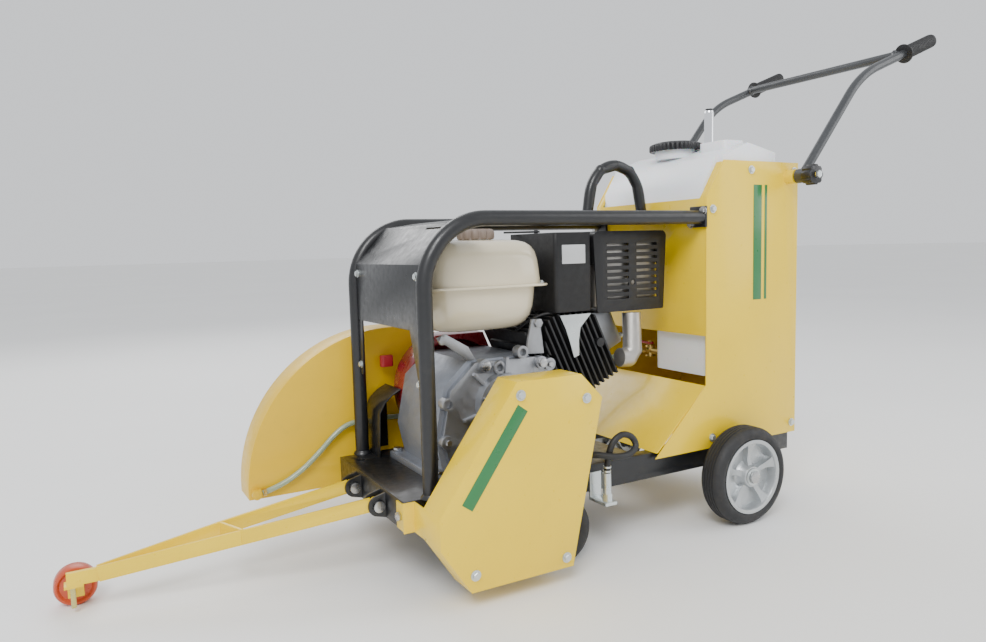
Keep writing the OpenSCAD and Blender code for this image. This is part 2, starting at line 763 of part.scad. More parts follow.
module depth_crank() color("#33363a") place() {
    translate([screw_x, 0, 170]) cylinder(h = 606, r = 8);
    translate([screw_x, 0, 762]) cylinder(h = 26, r = 15);
    hull() {
        translate([screw_x, 0, 776]) cylinder(h = 8, r = 13);
        translate([grip_x, grip_y, 776]) cylinder(h = 8, r = 11);
    }
    translate([grip_x, grip_y, 780]) cylinder(h = 106, r = 6);
    translate([grip_x, grip_y, 885.5]) cylinder(h = 4, r = 9);
}

module depth_grip() color("#cfd2d6") place() difference() {
    translate([grip_x, grip_y, 786]) cylinder(h = 99, r = 11);
    translate([grip_x, grip_y, 780]) cylinder(h = 130, r = 6 + run);
}

base_frame();
cage_left();
cage_right();
front_cover();
lifting_arch();
console_shell();
console_front();
rear_axle();
water_tank();
water_tap();
water_hose();
belt_guard();
bolts();
drain_hose();
drain_fitting();
shaft_bearings();
shaft_cover();
v_belts();
crankcase();
side_cover();
engine_cylinder();
rocker_cover();
exhaust_elbow();
muffler();
muffler_guard();
control_bracket();
air_cleaner();
carburettor();
fuel_tank();
tank_brackets();
fan_housing();
recoil_cover();
rear_tyre_left();
rear_tyre_right();
rear_hub_left();
rear_hub_right();
front_axle_carriage();
front_wheel_left();
front_wheel_right();
handlebar();
handle_grips();
handle_knob_left();
handle_knob_right();
pointer_frame();
pointer_wheel();
pointer_pin();
blade_guard();
guard_nozzle();
blade_shaft();
blade_flanges();
driven_pulley();
crankshaft();
drive_pulley();
depth_crank();
depth_grip();
fuel_cap();
water_cap();
tap_lever();
throttle_lever();
recoil_grip();
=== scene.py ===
import bpy
import bmesh
import math
from mathutils import Matrix, Vector


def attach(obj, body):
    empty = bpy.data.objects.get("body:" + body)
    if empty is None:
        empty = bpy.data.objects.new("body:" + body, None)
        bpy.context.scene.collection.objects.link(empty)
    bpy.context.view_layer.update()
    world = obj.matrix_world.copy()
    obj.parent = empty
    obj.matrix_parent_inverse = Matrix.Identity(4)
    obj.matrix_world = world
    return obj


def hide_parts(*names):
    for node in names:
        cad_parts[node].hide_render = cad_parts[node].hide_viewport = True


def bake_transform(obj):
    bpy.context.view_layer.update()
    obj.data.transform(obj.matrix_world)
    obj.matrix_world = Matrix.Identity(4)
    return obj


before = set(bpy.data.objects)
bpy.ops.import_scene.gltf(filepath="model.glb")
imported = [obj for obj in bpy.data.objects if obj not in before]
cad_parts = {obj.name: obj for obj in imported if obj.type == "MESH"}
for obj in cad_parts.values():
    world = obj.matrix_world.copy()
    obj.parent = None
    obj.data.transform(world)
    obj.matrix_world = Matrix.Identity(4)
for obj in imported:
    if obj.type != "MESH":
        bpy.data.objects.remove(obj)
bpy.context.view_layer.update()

# The design's own frame: millimetres from the rear axle, moved to the footprint's middle.
MID_X, MID_Y = 308.0, -11.5
REAR_R, REAR_IN, REAR_W = 100.0, 190.0, 55.0
CRANK = (495.0, 288.0)
PIVOT = (-172.0, 707.0)
POST_X, BED_Z, CAGE_Y, CAGE_Z = 677.0, 163.0, 167.0, 624.0
CAGE_R, BEND_R = 13.5, 117.0
HANDLE_R = 9.5
HANDLE_Y = 214.0
NECK = (-36.0, -16.0)
FUEL_NECK = (484.0, -12.0)
TILT = math.radians(25)


def mm(x, y, z):
    """A point of the design, in metres in the shared frame."""
    return Vector(((x - MID_X) / 1000, (y - MID_Y) / 1000, z / 1000))


# ---- Camera, the photograph's viewing angle ----
def make_camera():
    yaw, pitch, roll = -0.5111, 0.0969, -0.0258
    look = Vector((math.sin(yaw) * math.cos(pitch), -math.cos(yaw) * math.cos(pitch),
                   -math.sin(pitch)))
    right = look.cross(Vector((0, 0, 1))).normalized()
    up = right.cross(look)
    r = math.cos(roll) * right + math.sin(roll) * up
    u = -math.sin(roll) * right + math.cos(roll) * up
    data = bpy.data.cameras.new("camera")
    data.sensor_width = 36
    data.lens = 27.65
    data.clip_start = 0.02
    cam = bpy.data.objects.new("camera", data)
    rot = Matrix((r, u, -look)).transposed().to_4x4()
    cam.matrix_world = Matrix.Translation(mm(1180.3, 1290.2, 574.8)) @ rot
    bpy.context.collection.objects.link(cam)
    bpy.context.scene.camera = cam


make_camera()


# ---- Materials ----
def material(name, color, rough=0.4, metal=0.0, vary=0.12, scale=6.0, bump=0.0,
             bump_scale=400.0, rough_vary=0.12, dirt=0.0, coat=0.0, **sockets):
    """Principled surface whose colour, roughness and relief vary with noise."""
    m = bpy.data.materials.new(name)
    m.use_nodes = True
    nt = m.node_tree
    bsdf = nt.nodes["Principled BSDF"]
    bsdf.inputs["Metallic"].default_value = metal
    bsdf.inputs["Coat Weight"].default_value = coat
    bsdf.inputs["Coat Roughness"].default_value = 0.12
    for key, value in sockets.items():
        bsdf.inputs[key.replace("_", " ")].default_value = value
    coord = nt.nodes.new("ShaderNodeTexCoord")

    def noise(freq, detail, rough_n=0.55):
        n = nt.nodes.new("ShaderNodeTexNoise")
        n.inputs["Scale"].default_value = freq
        n.inputs["Detail"].default_value = detail
        n.inputs["Roughness"].default_value = rough_n
        nt.links.new(coord.outputs["Object"], n.inputs["Vector"])
        return n

    def ramp(src, lo, hi, a, b):
        r = nt.nodes.new("ShaderNodeMapRange")
        r.inputs["From Min"].default_value = lo
        r.inputs["From Max"].default_value = hi
        r.inputs["To Min"].default_value = a
        r.inputs["To Max"].default_value = b
        nt.links.new(src, r.inputs["Value"])
        return r.outputs["Result"]

    broad = noise(scale, 6)
    fine = noise(scale * 14, 4)
    mix = nt.nodes.new("ShaderNodeMix")
    mix.data_type = "RGBA"
    dark = [c * (1 - vary) for c in color]
    light = [min(1, c * (1 + vary * 0.7) + vary * 0.01) for c in color]
    mix.inputs["A"].default_value = (*dark, 1)
    mix.inputs["B"].default_value = (*light, 1)
    nt.links.new(ramp(broad.outputs["Fac"], 0.3, 0.7, 0, 1), mix.inputs["Factor"])
    out = mix.outputs["Result"]
    if dirt > 0:
        grime = nt.nodes.new("ShaderNodeMix")
        grime.data_type = "RGBA"
        grime.inputs["B"].default_value = (0.09, 0.075, 0.055, 1)
        spots = noise(scale * 5, 9, 0.7)
        nt.links.new(ramp(spots.outputs["Fac"], 0.56, 0.78, 0, dirt), grime.inputs["Factor"])
        nt.links.new(out, grime.inputs["A"])
        out = grime.outputs["Result"]
    nt.links.new(out, bsdf.inputs["Base Color"])
    nt.links.new(ramp(fine.outputs["Fac"], 0.25, 0.75, max(0.03, rough - rough_vary),
                      min(1, rough + rough_vary)), bsdf.inputs["Roughness"])
    if bump > 0:
        grain = noise(bump_scale, 3)
        b = nt.nodes.new("ShaderNodeBump")
        b.inputs["Strength"].default_value = bump
        b.inputs["Distance"].default_value = 0.0006
        nt.links.new(grain.outputs["Fac"], b.inputs["Height"])
        nt.links.new(b.outputs["Normal"], bsdf.inputs["Normal"])
    return m


YELLOW = material("yellow_paint", (0.88, 0.60, 0.0015), 0.36, vary=0.04, bump=0.1,
                  bump_scale=260, dirt=0.06, coat=0.22)
GUARD_YELLOW = material("guard_yellow", (0.78, 0.49, 0.002), 0.42, vary=0.06, bump=0.12,
                        bump_scale=220, dirt=0.1, coat=0.12)
FRAME_BLACK = material("frame_black", (0.006, 0.0065, 0.008), 0.40, vary=0.2, bump=0.2,
                       bump_scale=500, dirt=0.12, coat=0.2)
COVER_BLACK = material("cover_black", (0.009, 0.010, 0.012), 0.36, vary=0.2, bump=0.16,
                       bump_scale=420, dirt=0.03, coat=0.15)
ENGINE_BLACK = material("engine_black", (0.006, 0.006, 0.007), 0.46, vary=0.2, bump=0.25,
                        bump_scale=600)
SHROUD = material("air_cleaner_black", (0.005, 0.005, 0.006), 0.55, vary=0.2, bump=0.35,
                  bump_scale=900)
CAST = material("cast_aluminium", (0.36, 0.37, 0.39), 0.42, metal=0.85, vary=0.16, bump=0.6,
                bump_scale=520, dirt=0.2)
CAST_BLUE = material("crankcase_cast", (0.27, 0.29, 0.33), 0.46, metal=0.6, vary=0.18,
                     bump=0.55, bump_scale=480, dirt=0.3)
STEEL = material("steel", (0.50, 0.50, 0.50), 0.3, metal=1.0, vary=0.12, bump=0.15,
                 bump_scale=700, dirt=0.1)
ZINC = material("zinc_plate", (0.62, 0.66, 0.66), 0.34, metal=0.8, vary=0.14, bump=0.1,
                bump_scale=300)
YELLOW_ZINC = material("yellow_zinc", (0.62, 0.56, 0.22), 0.3, metal=0.9, vary=0.15,
                       bump=0.1)
CHROME = material("chrome", (0.86, 0.87, 0.9), 0.07, metal=1.0, vary=0.03, rough_vary=0.03)
EXHAUST = material("exhaust_steel", (0.44, 0.42, 0.39), 0.4, metal=0.85, vary=0.22,
                   bump=0.3, bump_scale=260, dirt=0.3)
CREAM = material("tank_cream", (0.72, 0.64, 0.46), 0.2, vary=0.03, coat=0.7, bump=0.03,
                 bump_scale=160, rough_vary=0.05)
RED = material("recoil_red", (0.26, 0.012, 0.02), 0.3, vary=0.1, coat=0.4, bump=0.08)
RED_PLASTIC = material("red_plastic", (0.45, 0.02, 0.03), 0.4, vary=0.08, bump=0.2)
ORANGE_RED = material("pointer_red", (0.52, 0.075, 0.025), 0.35, vary=0.1, bump=0.15,
                      dirt=0.1)
RUBBER = material("tyre_rubber", (0.016, 0.016, 0.017), 0.62, vary=0.25, bump=0.5,
                  bump_scale=500, dirt=0.25)
GRIP = material("grip_rubber", (0.013, 0.013, 0.014), 0.5, vary=0.2, bump=0.4,
                bump_scale=800)
PLASTIC = material("black_plastic", (0.012, 0.012, 0.014), 0.38, vary=0.2, bump=0.3,
                   bump_scale=900)
CAP_GREY = material("fuel_cap_grey", (0.22, 0.17, 0.14), 0.5, vary=0.14, bump=0.3,
                    bump_scale=700)
TANK_WHITE = material("tank_polyethylene", (0.84, 0.86, 0.89), 0.36, vary=0.03, bump=0.1,
                      bump_scale=120, Subsurface_Weight=0.25, Subsurface_Scale=0.02)
HOSE_GREEN = material("clear_green_hose", (0.42, 0.52, 0.36), 0.18, vary=0.1, coat=0.5,
                      Transmission_Weight=0.35, IOR=1.45)
HANDLE_GREY = material("handle_grey", (0.055, 0.058, 0.062), 0.36, metal=0.35, vary=0.15,
                       bump=0.12, dirt=0.1, coat=0.2)
HUB_CAST = material("hub_aluminium", (0.52, 0.54, 0.55), 0.36, metal=0.8, vary=0.12,
                    bump=0.45, bump_scale=420, dirt=0.12)
BRASS = material("brass", (0.62, 0.44, 0.14), 0.3, metal=1.0, vary=0.12, bump=0.1)
GREEN = material("green_stripe", (0.012, 0.16, 0.04), 0.35, vary=0.06, coat=0.3,
                 bump=0.03)
LABEL = material("blank_label", (0.62, 0.63, 0.64), 0.35, vary=0.08, bump=0.05)
IRON = material("painted_iron", (0.10, 0.115, 0.125), 0.45, metal=0.3, vary=0.2, bump=0.6,
                bump_scale=350, dirt=0.2)
BELT = material("belt_rubber", (0.02, 0.02, 0.021), 0.7, vary=0.2, bump=0.5,
                bump_scale=700)

# The CAD nodes that stay in view as they are; every other one is replaced below.
NODE_MATERIALS = {
    STEEL: ["blade_shaft", "crankshaft"],
    BELT: ["v_belts"],
}


def dress_nodes():
    for mat, names in NODE_MATERIALS.items():
        for name in names:
            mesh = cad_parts[name].data
            mesh.materials.clear()
            mesh.materials.append(mat)


dress_nodes()


# ---- Mesh helpers ----
def make(name, verts, faces, mat, body, smooth=True, angle=35):
    mesh = bpy.data.meshes.new(name)
    mesh.from_pydata([tuple(v) for v in verts], [], faces)
    mesh.validate()
    bm = bmesh.new()
    bm.from_mesh(mesh)
    bmesh.ops.remove_doubles(bm, verts=bm.verts, dist=1e-6)
    bmesh.ops.recalc_face_normals(bm, faces=bm.faces)
    finish_bm(bm, mesh, smooth, angle)
    return place(name, mesh, mat, body)


def finish_bm(bm, mesh, smooth=True, angle=35):
    """Smooth faces, with edges sharper than the angle kept crisp."""
    limit = math.radians(angle)
    for f in bm.faces:
        f.smooth = smooth
    for e in bm.edges:
        e.smooth = len(e.link_faces) == 2 and e.calc_face_angle(0) < limit
    bm.to_mesh(mesh)
    bm.free()


def place(name, mesh, mat, body):
    obj = bpy.data.objects.new(name, mesh)
    bpy.context.collection.objects.link(obj)
    mesh.materials.append(mat)
    if body is not None:
        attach(obj, body)
    return obj


def merged(name, parts, mat, body, angle=35):
    """One piece from several (verts, faces) lists."""
    verts, faces = [], []
    for v, f in parts:
        base = len(verts)
        verts += v
        faces += [tuple(i + base for i in face) for face in f]
    return make(name, verts, faces, mat, body, angle=angle)


def lathe_data(profile, origin, axis="y", segs=64, closed=False):
    """Rings of a profile of (radius, along) turned about an axis through origin, mm."""
    n = len(profile)
    verts = []
    for k in range(segs):
        a = 2 * math.pi * k / segs
        c, s = math.cos(a), math.sin(a)
        for r, t in profile:
            if axis == "y":
                p = (origin[0] + r * c, origin[1] + t, origin[2] + r * s)
            elif axis == "z":
                p = (origin[0] + r * c, origin[1] + r * s, origin[2] + t)
            else:
                p = (origin[0] + t, origin[1] + r * c, origin[2] + r * s)
            verts.append(mm(*p))
    faces = []
    last = n if closed else n - 1
    for k in range(segs):
        m = (k + 1) % segs
        for i in range(last):
            j = (i + 1) % n
            faces.append((k * n + i, k * n + j, m * n + j, m * n + i))
    return verts, faces


def catmull(points, steps):
    pts = [Vector(p) for p in points]
    out = []
    for i in range(len(pts) - 1):
        a, b = pts[max(i - 1, 0)], pts[i]
        c, d = pts[i + 1], pts[min(i + 2, len(pts) - 1)]
        for k in range(steps):
            t = k / steps
            out.append(0.5 * (2 * b + (c - a) * t + (2 * a - 5 * b + 4 * c - d) * t * t
                              + (3 * b - a - 3 * c + d) * t ** 3))
    return out + [pts[-1]]


def fillet(points, radius, steps=8):
    """A path of straight runs whose corners are rounded."""
    pts = [Vector(p) for p in points]
    out = [pts[0]]
    for i in range(1, len(pts) - 1):
        a = (pts[i - 1] - pts[i])
        b = (pts[i + 1] - pts[i])
        cut = min(radius, a.length * 0.48, b.length * 0.48)
        p, q = pts[i] + a.normalized() * cut, pts[i] + b.normalized() * cut
        for k in range(steps + 1):
            t = k / steps
            out.append(p * (1 - t) ** 2 + pts[i] * 2 * t * (1 - t) + q * t * t)
    return out + [pts[-1]]


def tube_data(path, radius, sides=20, caps=True):
    """Tube along a path in mm; radius is a number or a function of 0 to 1."""
    n = len(path)
    verts, faces = [], []
    normal = None
    for i, p in enumerate(path):
        t = (path[min(i + 1, n - 1)] - path[max(i - 1, 0)]).normalized()
        if normal is None:
            ref = Vector((0, 1, 0)) if abs(t.z) > 0.9 else Vector((0, 0, 1))
            normal = t.cross(ref).normalized()
        normal = (normal - t * normal.dot(t)).normalized()
        side = t.cross(normal)
        r = radius(i / (n - 1)) if callable(radius) else radius
        for k in range(sides):
            a = 2 * math.pi * k / sides
            verts.append(mm(*(p + r * (normal * math.cos(a) + side * math.sin(a)))))
    for i in range(n - 1):
        for k in range(sides):
            m = (k + 1) % sides
            faces.append((i * sides + k, i * sides + m, (i + 1) * sides + m,
                          (i + 1) * sides + k))
    if caps:
        faces.append(tuple(range(sides - 1, -1, -1)))
        faces.append(tuple((n - 1) * sides + k for k in range(sides)))
    return verts, faces


def bevel_solid(name, verts, faces, mat, body, width, segs=3, angle=30):
    """A closed solid whose edges are rounded, width in mm."""
    mesh = bpy.data.meshes.new(name)
    bm = bmesh.new()
    vs = [bm.verts.new(v) for v in verts]
    for f in faces:
        bm.faces.new([vs[i] for i in f])
    bmesh.ops.recalc_face_normals(bm, faces=bm.faces)
    sharp = [e for e in bm.edges if e.calc_face_angle(0) > math.radians(angle)]
    bmesh.ops.bevel(bm, geom=sharp, offset=width / 1000, offset_type="OFFSET",
                    segments=segs, profile=0.5, affect="EDGES", clamp_overlap=True)
    finish_bm(bm, mesh, angle=50)
    return place(name, mesh, mat, body)


def box_data(lo, hi):
    v = [mm(x, y, z) for x in (lo[0], hi[0]) for y in (lo[1], hi[1]) for z in (lo[2], hi[2])]
    f = [(0, 1, 3, 2), (4, 6, 7, 5), (0, 4, 5, 1), (2, 3, 7, 6), (0, 2, 6, 4), (1, 5, 7, 3)]
    return v, f


def round_box(name, lo, hi, r, mat, body, segs=3):
    v, f = box_data(lo, hi)
    return bevel_solid(name, v, f, mat, body, r, segs)


def prism_data(outline, y0, y1):
    """Outline of (x, z) as thick as from y0 to y1."""
    n = len(outline)
    v = [mm(x, y0, z) for x, z in outline] + [mm(x, y1, z) for x, z in outline]
    f = [tuple(range(n)), tuple(range(2 * n - 1, n - 1, -1))]
    f += [(i, i + n, (i + 1) % n + n, (i + 1) % n) for i in range(n)]
    return v, f


def hex_data(centre, axis, r, h, washer=0):
    """Hexagon head with a chamfer, on an optional washer; axis is x, y, z, -x, -y or -z."""
    d = {"x": Vector((1, 0, 0)), "y": Vector((0, 1, 0)), "z": Vector((0, 0, 1))}[axis[-1]]
    if axis[0] == "-":
        d = -d
    u = Vector((0, 0, 1)) if abs(d.z) < 0.5 else Vector((1, 0, 0))
    w = d.cross(u)
    c = Vector(centre)
    verts, faces = [], []

    def ring(sides, rad, t):
        start = len(verts)
        for k in range(sides):
            a = 2 * math.pi * k / sides
            verts.append(mm(*(c + d * t + rad * (u * math.cos(a) + w * math.sin(a)))))
        return start

    def join(a, b, sides):
        for k in range(sides):
            m = (k + 1) % sides
            faces.append((a + k, a + m, b + m, b + k))

    t = 0
    if washer:
        a, b = ring(24, washer, 0), ring(24, washer, 1.6)
        join(a, b, 24)
        faces.append(tuple(range(a + 23, a - 1, -1)))
        faces.append(tuple(range(b, b + 24)))
        t = 1.6
    rings = [ring(6, r, t), ring(6, r, t + h * 0.8), ring(6, r * 0.86, t + h)]
    for a, b in zip(rings, rings[1:]):
        join(a, b, 6)
    faces.append(tuple(range(rings[0] + 5, rings[0] - 1, -1)))
    faces.append(tuple(range(rings[-1], rings[-1] + 6)))
    return verts, faces


def soften(node, mat, body, width=1.5, angle=38, segs=2):
    """A rounded-edge copy of a CAD node's mesh, standing in for it."""
    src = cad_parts[node]
    mesh = bpy.data.meshes.new(node + "_detail")
    bm = bmesh.new()
    bm.from_mesh(src.data)
    bmesh.ops.remove_doubles(bm, verts=bm.verts, dist=2e-5)
    bmesh.ops.dissolve_limit(bm, angle_limit=math.radians(0.6), verts=bm.verts,
                             edges=bm.edges)
    sharp = [e for e in bm.edges
             if len(e.link_faces) == 2 and e.calc_face_angle(0) > math.radians(angle)]
    bmesh.ops.bevel(bm, geom=sharp, offset=width / 1000, offset_type="OFFSET",
                    segments=segs, profile=0.5, affect="EDGES", clamp_overlap=True)
    finish_bm(bm, mesh, angle=36)
    obj = place(node + "_detail", mesh, mat, body)
    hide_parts(node)
    return obj


SOFTENED = [
    ("base_frame", FRAME_BLACK, "root", 2.0), ("front_cover", COVER_BLACK, "root", 0.8),
    ("console_shell", YELLOW, "root", 1.0), ("console_front", YELLOW, "root", 1.0),
    ("water_tank", TANK_WHITE, "root", 14.0), ("belt_guard", YELLOW, "root", 1.1),
    ("crankcase", CAST_BLUE, "root", 6.0), ("side_cover", CAST, "root", 1.6),
    ("engine_cylinder", ENGINE_BLACK, "root", 1.2), ("rocker_cover", CAST, "root", 3.0),
    ("muffler", EXHAUST, "root", 5.0), ("muffler_guard", ENGINE_BLACK, "root", 1.0),
    ("air_cleaner", SHROUD, "root", 8.0), ("carburettor", CAST, "root", 2.0),
    ("control_bracket", ZINC, "root", 0.7),
    ("tank_brackets", CAST, "root", 1.2), ("fan_housing", RED, "root", 4.0),
    ("recoil_cover", RED, "root", 3.0), ("shaft_bearings", IRON, "root", 2.0),
    ("shaft_cover", FRAME_BLACK, "root", 1.0), ("bolts", STEEL, "root", 0.8),
    ("exhaust_elbow", EXHAUST, "root", 1.0), ("rear_axle", STEEL, "root", 1.0),
    ("drain_fitting", ZINC, "root", 0.8), ("water_tap", BRASS, "root", 0.8),
    ("pointer_frame", YELLOW, "pointer_arm", 0.8),
    ("pointer_pin", YELLOW_ZINC, "pointer_arm", 0.6),
    ("blade_guard", GUARD_YELLOW, "blade_guard", 1.2),
    ("guard_nozzle", GUARD_YELLOW, "blade_guard", 0.6),
    ("blade_flanges", STEEL, "blade_spindle", 1.2),
    ("driven_pulley", IRON, "blade_spindle", 0.8),
    ("drive_pulley", IRON, "engine_shaft", 0.8),
    ("front_axle_carriage", FRAME_BLACK, "front_axle", 2.0),
    ("depth_crank", FRAME_BLACK, "depth_crank", 1.2),
    ("tap_lever", RED_PLASTIC, "tap_lever", 1.2),
    ("throttle_lever", PLASTIC, "throttle_lever", 0.8),
    ("recoil_grip", RED_PLASTIC, "recoil_grip", 2.0),
    ("handle_knob_left", PLASTIC, "handle_knob_left", 1.6),
    ("handle_knob_right", PLASTIC, "handle_knob_right", 1.6),
]
for node_name, node_mat, node_body, node_width in SOFTENED:
    soften(node_name, node_mat, node_body, node_width)


# ---- Tube work ----
def arc(cx, cz, r, a0, a1, y, steps=20):
    out = []
    for k in range(steps + 1):
        a = math.radians(a0 + (a1 - a0) * k / steps)
        out.append(Vector((cx + r * math.cos(a), y, cz + r * math.sin(a))))
    return out


def build_cage():
    for name, s in (("cage_left", 1), ("cage_right", -1)):
        y = CAGE_Y * s
        path = [Vector((POST_X, y, BED_Z)), Vector((POST_X, y, 505))]
        path += arc(POST_X - BEND_R, CAGE_Z - BEND_R, BEND_R, 0, 90, y)
        path.append(Vector((70, y, CAGE_Z)))
        weld = lathe_data([(13.4, 0), (18, 0), (17.6, 2), (15, 5), (13.4, 7.5)],
                          (POST_X, y, BED_Z), "z", 32)
        tube = merged(name + "_tube", [tube_data(path, CAGE_R, 32), weld], FRAME_BLACK, "root")
        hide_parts(name)
        round_box(name + "_foot", (64.5, y - 22 - s * 8, 604),
                  (70.5, y + 22 - s * 8, 646), 1.5, FRAME_BLACK, "root")
        bolts = [hex_data((70.5, y - s * 8 + d, CAGE_Z + e), "x", 6.5, 5, 8.5)
                 for d, e in ((-17, -13), (17, 13))]
        merged(name + "_foot_bolts", bolts, STEEL, "root", angle=25)


def build_arch():
    path = catmull([(226, 0, 630), (223, 0, 652), (214, 0, 696), (190, 0, 728),
                    (152, 0, 741), (114, 0, 728), (90, 0, 696), (81, 0, 652),
                    (78, 0, 630)], 8)
    merged("lifting_arch_tube", [tube_data(path, 11, 28)], FRAME_BLACK, "root")
    soften("lifting_arch", FRAME_BLACK, "root", 0.9)
    welds = [lathe_data([(10.8, 0), (15.5, 0), (15, 2), (12.6, 4.4), (10.8, 6)],
                        (x, 0, 630), "z", 28) for x in (226, 78)]
    merged("lifting_arch_welds", welds, FRAME_BLACK, "root")
    heads = [hex_data((x, y, 630), "z", 7, 5.5, 10)
             for x in (84, 220) for y in (-140, 140)]
    merged("crossplate_bolts", heads, STEEL, "root", angle=25)


build_cage()
build_arch()


# ---- Handlebar ----
def build_handlebar():
    parts = []
    for s in (-1, 1):
        y = HANDLE_Y * s
        path = fillet([(PIVOT[0] - 9, y, PIVOT[1] + 11), (-356, y, 928), (-592, y, 1020)],
                      60, 12)
        parts.append(tube_data(path, HANDLE_R, 28))
        parts.append(lathe_data([(5.1, -11), (14, -11), (15, -10), (15, 10), (14, 11),
                                 (5.1, 11)], (PIVOT[0], y, PIVOT[1]), "y", 40, closed=True))
        parts.append(lathe_data([(9.3, 0), (12.6, 0.6), (11.2, 3), (9.4, 4.5)],
                                (-488, y - s * 9, 983), "y", 24))
    parts.append(tube_data([Vector((-488, -HANDLE_Y, 983)), Vector((-488, HANDLE_Y, 983))],
                           HANDLE_R, 28))
    bar = merged("handlebar_tube", parts, HANDLE_GREY, "handlebar")
    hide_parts("handlebar")


def build_grips():
    a = Vector((-236, 0, 92)).normalized()
    parts = []
    profile = [(9.6, 13), (20.5, 13.5), (21.5, 15.5), (20.5, 18), (15.5, 19)]
    t = 21.0
    while t < 121:
        profile += [(13.6, t), (15.2, t + 1), (15.2, t + 3), (13.6, t + 4)]
        t += 5.0
    profile += [(14.4, t), (14.6, t + 2), (12.5, t + 4.5), (8, t + 5.6), (0.4, t + 6)]
    for s in (-1, 1):
        origin = Vector((-494, HANDLE_Y * s, 981.8))
        u = Vector((0, 1, 0))
        w = a.cross(u)
        verts, faces = [], []
        segs, n = 40, len(profile)
        for k in range(segs):
            ang = 2 * math.pi * k / segs
            for r, d in profile:
                flat = 1 - 0.05 * max(0, math.cos(2 * ang)) if r < 19 else 1
                verts.append(mm(*(origin + a * d + r * flat * (u * math.cos(ang)
                                                               + w * math.sin(ang)))))
        for k in range(segs):
            m = (k + 1) % segs
            for i in range(n - 1):
                faces.append((k * n + i, k * n + i + 1, m * n + i + 1, m * n + i))
        parts.append((verts, faces))
    grips = merged("ribbed_grips", parts, GRIP, "handlebar", angle=50)
    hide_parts("handle_grips")


def build_knob_screws():
    for name, s in (("handle_knob_left", 1), ("handle_knob_right", -1)):
        side = "y" if s > 0 else "-y"
        head = hex_data((PIVOT[0], 252 * s, PIVOT[1]), side, 8, 5)
        face = lathe_data([(5.2, -1.4 * s), (9, -1.4 * s), (11.5, 0), (5.2, 0.8 * s)],
                          (PIVOT[0], 248.2 * s, PIVOT[1]), "y", 36, closed=True)
        merged(name + "_face", [face], PLASTIC, name)
        merged(name + "_stud", [head], ZINC, "root", angle=25)


build_handlebar()
build_grips()
build_knob_screws()


# ---- Rear wheels ----
def tyre_profile():
    pts = [(75, 4), (79, 1.4), (84, 0.4), (89, 1.6), (93.5, 4.2), (97.2, 8.5), (98.6, 12)]
    groove = []
    for k in range(4):
        c = 17 + 7 * k
        groove += [(99.7, c - 2.2), (97.6, c - 1.2), (97.6, c + 1.2), (99.7, c + 2.2)]
    pts += groove
    pts += [(r, REAR_W - t) for r, t in reversed(pts[:7])]
    pts += [(75, REAR_W - 4)]
    return pts


def build_wheel(side, s):
    y0 = REAR_IN if s > 0 else -REAR_IN - REAR_W
    tyre = merged("rear_tyre_%s_rubber" % side,
                  [lathe_data(tyre_profile(), (0, y0, REAR_R), "y", 128, closed=True)],
                  RUBBER, "rear_wheel_" + side, angle=40)
    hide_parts("rear_tyre_" + side)
    mid = y0 + REAR_W / 2
    rim = lathe_data([(75, 3), (75.6, 1.5), (72, 0.9), (68, 2), (66.4, 5), (65, 18),
                      (64, 22), (30, 23.5), (24, 18), (22, 6), (20.5, 3), (12, 2.5),
                      (10.1, 2.5), (10.1, 52.5), (12, 52.5), (20.5, 52), (22, 49),
                      (24, 37), (30, 31.5), (64, 33), (65, 37), (66.4, 50), (68, 53),
                      (72, 54.1), (75.6, 53.5), (75, 52)], (0, y0, REAR_R), "y", 96,
                     closed=True)
    webs = []
    for k in range(5):
        a = math.radians(90 + 72 * k)
        rad = Vector((math.cos(a), 0, math.sin(a)))
        tan = Vector((-math.sin(a), 0, math.cos(a)))
        rows = [(20, 7.5, 18), (34, 6.2, 14.5), (50, 7.4, 17), (60, 11, 20.5), (67, 17, 23)]
        verts, faces = [], []
        for d, half, deep in rows:
            for su, sv in ((-1, -1), (1, -1), (1.25, 0), (1, 1), (-1, 1), (-1.25, 0)):
                p = rad * d + tan * half * su * 0.8 + Vector((0, deep * sv, 0))
                verts.append(mm(p.x, mid + p.y, REAR_R + p.z))
        for i in range(len(rows) - 1):
            for j in range(6):
                m = (j + 1) % 6
                faces.append((i * 6 + j, i * 6 + m, (i + 1) * 6 + m, (i + 1) * 6 + j))
        faces.append(tuple(range(5, -1, -1)))
        faces.append(tuple(24 + j for j in range(6)))
        webs.append((verts, faces))
    hub = merged("rear_hub_%s_casting" % side, [rim] + webs, HUB_CAST,
                 "rear_wheel_" + side, angle=42)
    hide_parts("rear_hub_" + side)
    outer = y0 + REAR_W if s > 0 else y0
    washer = lathe_data([(10.6, 0), (17, 0), (17.5, s * 0.6), (17, s * 1.8),
                         (10.6, s * 2)], (0, outer - s * 2.4, REAR_R), "y", 40, closed=True)
    merged("rear_washer_" + side, [washer], ZINC, "rear_wheel_" + side)


def build_small_wheel(side, s):
    y0 = 168 if s > 0 else -200
    prof = [(9.1, 2), (15, 2), (16, 3), (16, 8), (34, 10), (36, 6), (37, 2), (39, 0.6),
            (50, 0.2), (57, 1.6), (60.8, 5), (61.9, 11), (61.9, 21), (60.8, 27),
            (57, 30.4), (50, 31.8), (39, 31.4), (37, 30), (36, 26), (34, 22), (16, 24),
            (16, 29), (15, 30), (9.1, 30)]
    w = merged("front_wheel_%s_rubber" % side,
               [lathe_data(prof, (435, y0, 62), "y", 96, closed=True)], RUBBER,
               "front_wheel_" + side)
    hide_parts("front_wheel_" + side)


for wheel_side, wheel_s in (("left", 1), ("right", -1)):
    build_wheel(wheel_side, wheel_s)
    build_small_wheel(wheel_side, wheel_s)


